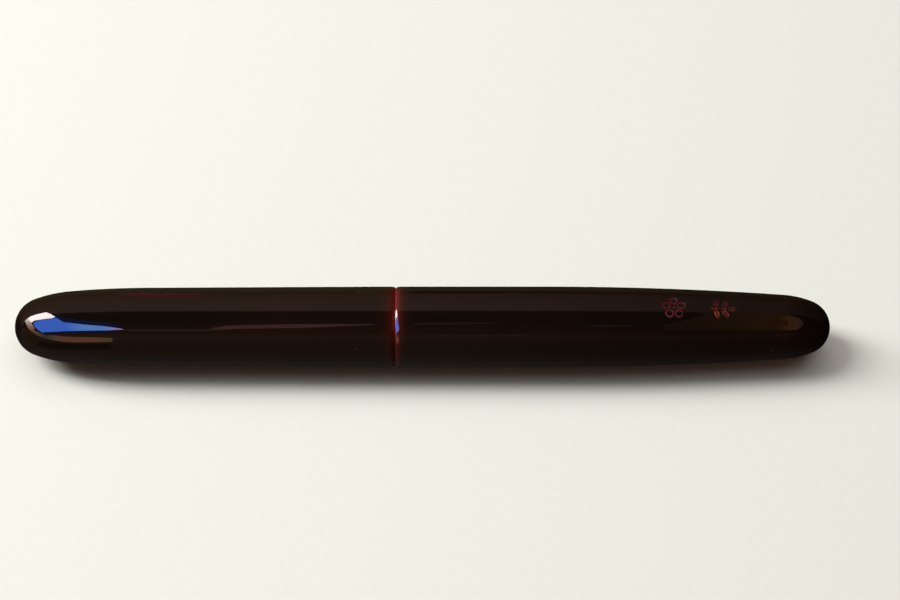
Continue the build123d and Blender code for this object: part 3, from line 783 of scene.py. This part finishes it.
def card(name, seen_from, rungs, distance=3.0):
    """Glowing strip that only gloss can see, made of rungs: (points from one end to the other, colour).

    Each point is an (azimuth, elevation) seen from a place on the pen's axis.
    """
    eye = Vector((seen_from * MM, 0, 1.6 * AXIS))
    bm = bmesh.new()
    ladder, colors = [], []
    for *points, color in rungs:
        ladder.append([bm.verts.new(eye + direction(*point) * distance) for point in points])
        colors += [color] * len(points)
    for a, b in zip(ladder, ladder[1:]):
        for i in range(len(a) - 1):
            bm.faces.new((a[i], b[i], b[i + 1], a[i + 1]))
    mesh = bpy.data.meshes.new(name)
    bm.to_mesh(mesh)
    bm.free()
    glow = mesh.color_attributes.new("glow", "FLOAT_COLOR", "POINT")
    for corner, color in zip(glow.data, colors):
        corner.color = (*color, 1)
    piece = new_object(name, mesh)
    material = bpy.data.materials.new(name)
    material.use_nodes = True
    tree = material.node_tree
    tree.nodes.clear()
    color = tree.nodes.new("ShaderNodeAttribute")
    color.attribute_name = "glow"
    light = tree.nodes.new("ShaderNodeEmission")
    out = tree.nodes.new("ShaderNodeOutputMaterial")
    tree.links.new(color.outputs["Color"], light.inputs["Color"])
    tree.links.new(light.outputs[0], out.inputs[0])
    mesh.materials.append(material)
    piece.visible_camera = piece.visible_diffuse = piece.visible_shadow = False
    piece.visible_transmission = False
    shine_only_on(piece, OUTSIDE)


# The cards' directions were worked out by a separate program from places marked on the photograph, and then
# partly adjusted by hand. Most are that program's output unchanged, so they are not an example to follow.
NOSE, MIDDLE, TAIL = -66, -20, 66
SKY, PALE_SKY, DUSK = (0.8, 2.4, 10.3), (1.7, 3.9, 10.3), (6.0, 4.0, 8.0)
BRIGHT, SOFT, PEACH = (22, 20, 19), (8, 6, 5), (5.5, 3.4, 2.7)
FLESH, CLAY = (3.3, 1.6, 1.1), (1.9, 1.1, 0.8)
SAND, DIM_SAND = (1.2, 0.9, 0.7), (0.6, 0.47, 0.38)
RUST, OLIVE = (1.85, 0.75, 0.47), (1.0, 0.8, 0.43)
FAINT, ROSE, DIM_ROSE = (0.30, 0.24, 0.20), (0.76, 0.33, 0.33), (0.45, 0.20, 0.19)
TIP_GLOW, COPPER, EMBER = (0.36, 0.19, 0.13), (0.52, 0.24, 0.15), (0.50, 0.22, 0.08)
GLIMMER, RUSSET = (0.36, 0.15, 0.05), (0.24, 0.07, 0.012)
BROWN, DIM_BROWN, SOOT = (0.20, 0.094, 0.036), (0.13, 0.07, 0.035), (0.03, 0.018, 0.010)
LINE, NAVY, DUSKY = (0.21, 0.135, 0.11), (0.02, 0.09, 0.50), (0.05, 0.045, 0.020)
RED_GLOW, RED_END, SKIRTING = (0.51, 0.10, 0.11), (0.22, 0.13, 0.09), (0.065, 0.038, 0.017)


def make_cards():
    """A window with its bright reveal at the cap's nose, embers at the tail, and faint edges between."""
    card("window", NOSE, [
        ((-98, 42), (-106, 40), SKY),
        ((-91, 49), (-120, 35), SKY),
        ((-90, 56), (-133, 29), SKY),
        ((-88, 61), (-140, 27), SKY),
        ((-87, 64), (-145, 30), SKY),
        ((-105, 66), (-149, 33), SKY),
        ((-128, 65), (-154, 41), SKY),
        ((-141, 62), (-156, 45), PALE_SKY),
        ((-152, 59), (-159, 47), PALE_SKY),
        ((-162, 52), (-162, 51), DUSK),
    ])
    card("window_reveal", NOSE, [
        ((-78, 62), (-78, 63), BRIGHT),
        ((-62, 55), (-87, 60), BRIGHT),
        ((-55, 48), (-88, 55), BRIGHT),
        ((-63, 42), (-90, 44), BRIGHT),
        ((-73, 36), (-96, 41), BRIGHT),
        ((-81, 19), (-97, 40), SOFT),
        ((-100, 25), (-109, 38), PEACH),
        ((-120, 26), (-119, 34), FLESH),
        ((-129, 21), (-124, 28), CLAY),
        ((-136, 16), (-130, 27), SAND),
        ((-145, 12), (-141, 23), DIM_SAND),
        ((-152, 11), (-148, 26), SAND),
        ((-159, 9.5), (-156, 27), RUST),
        ((-162, 9), (-160, 26), RUST),
        ((-165, 12), (-163, 27), RUST),
        ((-167, 14), (-166, 26), OLIVE),
    ])
    card("window_haze", NOSE, [
        ((-60, 60), (-74, 63), NAVY),
        ((-78, 68), (-108, 68), NAVY),
        ((-99, 71), (-126, 66), NAVY),
        ((-117, 71), (-139, 64), NAVY),
        ((-137, 69), (-151, 60), NAVY),
        ((-152, 64), (-160, 55), NAVY),
        ((-161, 57), (-163, 51), SOOT),
    ], distance=1.0)
    card("window_sill", NOSE, [
        ((-135, 30), (-139, 23), NAVY),
        ((-151, 41), (-154, 34), NAVY),
        ((-155, 45), (-158, 38), NAVY),
        ((-162, 49), (-164, 43), NAVY),
    ], distance=1.0)
    card("under_window", NOSE, [
        ((-141, -2), (-141, -22), DUSKY),
        ((-155, 1), (-155, -20), DUSKY),
        ((-163, 4), (-163, -17), DUSKY),
        ((-167, 7), (-168, -9), DUSKY),
    ])
    card("embers", TAIL, [
        ((103.8, 53.3), (107, 52.5), (110.5, 51.6), (113.5, 50.5), (116.6, 49.3), TIP_GLOW),
        ((91.2, 57.6), (98, 57), (105, 56), (118.1, 52), (127.9, 46.4), TIP_GLOW),
        ((79.1, 62.2), (99.6, 62), (121.3, 56.9), (133.7, 49.7), (140.8, 42.4), COPPER),
        ((65.4, 66.5), (91.5, 68.6), (124.1, 63.6), (141.8, 53.4), (149.4, 43.6), EMBER),
        ((54.6, 69.5), (94.5, 73.3), (132.2, 67), (148.9, 55.7), (155.8, 44.9), EMBER),
        ((51.6, 69.4), (95.9, 73.6), (133.2, 67.1), (149.5, 55.8), (156.3, 45.1), GLIMMER),
        ((35.3, 62.7), (97.4, 73.9), (134.2, 67.2), (150.2, 56), (156.7, 45.4), BROWN),
        ((34.1, 62.6), (99, 74.3), (135.4, 67.4), (150.9, 56.2), (157.3, 45.7), BROWN),
        ((33.4, 63.7), (102.3, 75), (137.7, 67.7), (152.3, 56.6), (158.3, 46.2), BROWN),
        ((39.1, 72.3), (126.9, 75.8), (150.8, 66.2), (159.1, 56.4), (163.1, 47.3), DIM_BROWN),
        ((60, 76), (132, 75), (154, 66), (161, 57), (164.5, 48), DIM_BROWN),
        ((90, 79), (140, 74), (159, 64), (163, 57), (166, 50), DIM_BROWN),
    ])
    card("ember_hollow", TAIL, [
        ((121.3, 70.2), (129.1, 68.1), (140.3, 63), RUSSET),
        ((105.7, 73), (130.2, 68.3), (144, 61.1), RUSSET),
        ((104.2, 73.7), (124.4, 70.7), (140.2, 64.7), RUSSET),
        ((100.1, 74.6), (111.9, 73.6), (129.9, 69.9), BROWN),
    ], distance=1.0)
    card("cap_edge", MIDDLE, [
        ((-161, 51), (-163, 47), FAINT),
        ((-166, 52), (-167, 48), FAINT),
        ((-168, 52), (-169, 48), FAINT),
        ((-167, 56), (-169, 49), DIM_ROSE),
        ((-165, 63), (-169, 51), ROSE),
        ((-166, 65), (-169, 54), ROSE),
        ((-168, 67), (-172, 57), ROSE),
        ((-171, 68), (-173, 61), ROSE),
        ((-174, 68), (-175, 65), DIM_ROSE),
    ])
    card("red_glow", MIDDLE, [
        ((-11.6, 1), (-11.6, 22), RED_END),
        ((-10.4, 0), (-10.4, 25), RED_GLOW),
        ((-8.3, 2), (-8.3, 26), RED_GLOW),
        ((-7.2, 5), (-7.2, 22), RED_END),
    ])
    lines = {
        "barrel_edge": [((-176, 71), (-177, 66)), ((179, 73), (179, 67)), ((176, 72), (176, 69))],
        "low_edge": [((-179, 38), (-179, 34)), ((179, 39), (179, 32)), ((177, 39), (177, 34))],
        "far_edge": [((167, 63), (169, 61)), ((165, 64), (167, 60)), ((162, 63), (163, 60))],
    }
    for name, ends in lines.items():
        card(name, 0, [(one, other, LINE) for one, other in ends])
    card("skirting", 0, [
        ((-3, -5), (-3, 9), RED_END),
        ((-1, -5), (-1, 9), SKIRTING),
        ((25, -5), (25, 9), SKIRTING),
    ])


# Colour of the room at each angle about the pen's axis: -90 is behind the pen, 0 above it and 90 before it.
# A separate program worked these back from colours in the photograph. They were then scaled, and some were
# changed. They are not an example to follow.
ROOM = [
    (-180, (0.038, 0.037, 0.034)),
    (-150, (0.016, 0.015, 0.013)),
    (-140, (0.034, 0.030, 0.017)),
    (-120, (0.063, 0.048, 0.021)),
    (-102, (0.124, 0.093, 0.048)),
    (-88, (0.135, 0.091, 0.047)),
    (-79, (0.194, 0.114, 0.070)),
    (-69, (0.282, 0.162, 0.116)),
    (-53, (0.340, 0.207, 0.163)),
    (-32, (0.423, 0.268, 0.224)),
    (-18.5, (0.420, 0.265, 0.220)),
    (-14.5, (0.039, 0.041, 0.031)),
    (5, (0.030, 0.038, 0.031)),
    (17, (0.058, 0.046, 0.038)),
    (40, (0.147, 0.071, 0.051)),
    (47, (0.144, 0.069, 0.046)),
    (54, (0.218, 0.109, 0.075)),
    (60, (0.236, 0.132, 0.094)),
    (75, (0.186, 0.106, 0.069)),
    (90, (0.155, 0.094, 0.053)),
    (124, (0.152, 0.102, 0.080)),
    (142, (0.120, 0.092, 0.077)),
    (153, (0.100, 0.084, 0.071)),
    (166, (0.069, 0.066, 0.060)),
    (180, (0.038, 0.037, 0.034)),
]
# How bright the room is towards each end: (direction's X, factor).
ROOM_FADE = [(-0.15, 1.0), (0.0, 0.87), (0.07, 0.66), (0.2, 0.45), (0.35, 0.30), (0.6, 0.15), (1.0, 0.13)]


def make_world():
    """Dark room with a dim warm wall behind the pen, for the gloss to mirror. It is darker towards +X."""
    world = bpy.data.worlds.new("studio")
    bpy.context.scene.world = world
    world.use_nodes = True
    tree = world.node_tree
    parts = tree.nodes.new("ShaderNodeSeparateXYZ")
    tree.links.new(tree.nodes.new("ShaderNodeTexCoord").outputs["Generated"], parts.inputs[0])

    def math_node(operation, a, b):
        made = tree.nodes.new("ShaderNodeMath")
        made.operation = operation
        for socket, value in zip(made.inputs, (a, b)):
            if isinstance(value, float):
                socket.default_value = value
            else:
                tree.links.new(value, socket)
        return made.outputs[0]

    def ramp(value, low, high, stops):
        made = tree.nodes.new("ShaderNodeValToRGB")
        tree.links.new(math_node("DIVIDE", math_node("SUBTRACT", value, low), high - low), made.inputs[0])
        made.color_ramp.elements.remove(made.color_ramp.elements[1])
        for i, (at, color) in enumerate(stops):
            place = (at - low) / (high - low)
            element = made.color_ramp.elements.new(place) if i else made.color_ramp.elements[0]
            element.position = place
            element.color = (*color, 1)
        return made.outputs["Color"]

    forward = math_node("MULTIPLY", parts.outputs["Y"], -1.0)
    angle = math_node("MULTIPLY", math_node("ARCTAN2", forward, parts.outputs["Z"]), 180 / math.pi)
    background = tree.nodes["Background"]
    tree.links.new(ramp(angle, -180.0, 180.0, ROOM), background.inputs["Color"])
    fade = [(x, (factor,) * 3) for x, factor in ROOM_FADE]
    tree.links.new(ramp(parts.outputs["X"], -1.0, 1.0, fade), background.inputs["Strength"])


def make_lights():
    softbox("key", -75, 45, 1.2, (0.35, 0.9), (1.0, 0.97, 0.94), 18)
    softbox("overhead", 20, 80, 1.4, (1.6, 1.2), (1.0, 0.99, 0.98), 9)
    insides = [obj for obj in shown.values() if obj not in OUTSIDE]
    white, warm_white = (1.0, 1.0, 1.0), (1.0, 0.99, 0.98)
    softbox("inside_left", -60, 50, 1.2, (0.5, 0.5), white, 2.4, insides)
    softbox("inside_right", 130, 40, 1.2, (0.35, 0.8), white, 1.6, insides)
    softbox("inside_back", 20, 60, 1.2, (0.9, 0.35), white, 1.4, insides)
    for name, azimuth in (("inside_low_back", 15), ("inside_low_front", 190)):
        softbox(name, azimuth, 14, 1.4, (2.0, 0.7), warm_white, 1.4, insides)
    softbox("inside_floor", 0, -90, 0.05, (3.0, 3.0), (1.0, 0.99, 0.96), 14, insides)
    make_cards()
    make_world()


ELEVATION = 59.0
LENS = 85.0
SENSOR = 36.0
PEN_SPAN = 0.90444
PEN_LEFT, PEN_LOW = 0.03056, 0.03


def make_camera():
    """The pen fills PEN_SPAN of the picture's width, and lies PEN_LEFT and PEN_LOW of it off the middle."""
    width = (TAIL_TIP - CAP_TIP) * MM / PEN_SPAN
    distance = LENS * width / SENSOR
    data = bpy.data.cameras.new("camera")
    data.lens, data.sensor_width = LENS, SENSOR
    camera = bpy.data.objects.new("camera", data)
    bpy.context.scene.collection.objects.link(camera)
    e = math.radians(ELEVATION)
    back = Vector((0, -math.cos(e), math.sin(e)))
    up = Vector((0, math.sin(e), math.cos(e)))
    right = Vector((1, 0, 0))
    offset = right * PEN_LEFT * width + up * PEN_LOW * width
    camera.location = Vector((0, 0, AXIS)) + back * distance + offset
    camera.rotation_mode = "QUATERNION"
    camera.rotation_quaternion = back.to_track_quat("Z", "Y")
    data.clip_start, data.clip_end = 0.01, 10.0
    bpy.context.scene.camera = camera


make_floor()
make_lights()
make_camera()
bpy.context.scene.view_settings.view_transform = "Standard"
